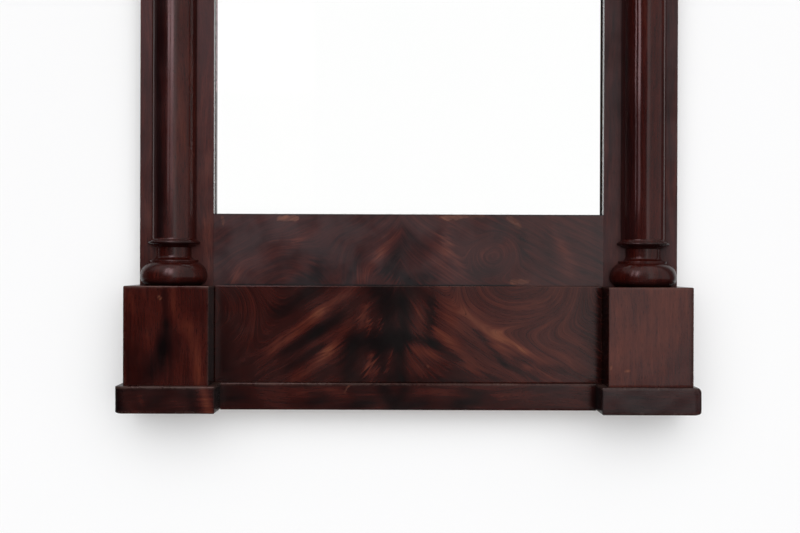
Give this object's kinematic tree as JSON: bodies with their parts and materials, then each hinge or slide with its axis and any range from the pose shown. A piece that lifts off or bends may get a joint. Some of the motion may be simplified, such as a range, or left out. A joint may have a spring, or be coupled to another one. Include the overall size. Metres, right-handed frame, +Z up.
{
  "type": "wall mirror",
  "caption": "Wall-hung mahogany pier mirror: framed glass between half-round columns on plinth blocks, with veneered panels, cornice and hinged hanging eyes behind.",
  "frame": {"origin": "on the wall plane at the back of the top rail, midway between the hanging eyes", "axes": "+Z up, +Y from the mirror's front towards the wall, +X to the viewer's right"},
  "size_m": [0.641, 0.091, 1.25],
  "materials": {
    "mahogany_flame": "French-polished flame veneer",
    "mahogany_solid": "French-polished solid mahogany",
    "pine": "bare aged pine",
    "beech": "bare beech",
    "glass": "clear plate glass",
    "silvering": "silvered back of the glass",
    "iron": "dark forged iron"
  },
  "bodies": {
    "frame": {"backboard_bottom": "pine", "backboard_middle": "pine", "backboard_nails": "iron", "backboard_top": "pine", "base_panel": "pine", "base_panel_veneer": "mahogany_flame", "base_strip": "pine", "base_strip_veneer": "mahogany_flame", "block_screws": "iron", "bottom_rail": "pine", "bottom_rail_veneer": "mahogany_flame", "capital_collar_left": "mahogany_solid", "capital_collar_right": "mahogany_solid", "column_base_left": "mahogany_solid", "column_base_right": "mahogany_solid", "column_capital_left": "mahogany_solid", "column_capital_right": "mahogany_solid", "column_collar_left": "mahogany_solid", "column_collar_right": "mahogany_solid", "column_dowels": "beech", "column_shaft_left": "mahogany_solid", "column_shaft_right": "mahogany_solid", "cornice_board": "mahogany_solid", "cornice_core": "pine", "cornice_moulding_front": "mahogany_solid", "cornice_moulding_left": "mahogany_solid", "cornice_moulding_right": "mahogany_solid", "edge_veneer_left": "mahogany_flame", "edge_veneer_right": "mahogany_flame", "frieze_panel": "pine", "frieze_veneer": "mahogany_flame", "glass_blocks": "pine", "hanger_pins": "iron", "hanger_plate_left": "iron", "hanger_plate_right": "iron", "hanger_screws": "iron", "mirror_glass": "glass", "mirror_silvering": "silvering", "plinth_block_left": "pine", "plinth_block_right": "pine", "plinth_block_veneer_left": "mahogany_flame", "plinth_block_veneer_right": "mahogany_flame", "plinth_foot_left": "mahogany_solid", "plinth_foot_right": "mahogany_solid", "stile_left": "pine", "stile_right": "pine", "stile_veneer_left": "mahogany_flame", "stile_veneer_right": "mahogany_flame", "tenon_pegs": "beech", "top_block_left": "pine", "top_block_right": "pine", "top_block_veneer_left": "mahogany_flame", "top_block_veneer_right": "mahogany_flame", "top_rail": "pine", "top_rail_veneer": "mahogany_flame"},
    "hanging_eye_left": {"hanger_eye_left": "iron"},
    "hanging_eye_right": {"hanger_eye_right": "iron"}
  },
  "joints": [
    {"name": "hanging_eye_left_hinge", "type": "hinge", "parent": "frame", "child": "hanging_eye_left", "pos_m": [-0.14, -0.0035, -0.02], "axis": [-1, 0, 0], "range_deg": [0, 180]},
    {"name": "hanging_eye_right_hinge", "type": "hinge", "parent": "frame", "child": "hanging_eye_right", "pos_m": [0.14, -0.0035, -0.02], "axis": [-1, 0, 0], "range_deg": [0, 180]}
  ]
}
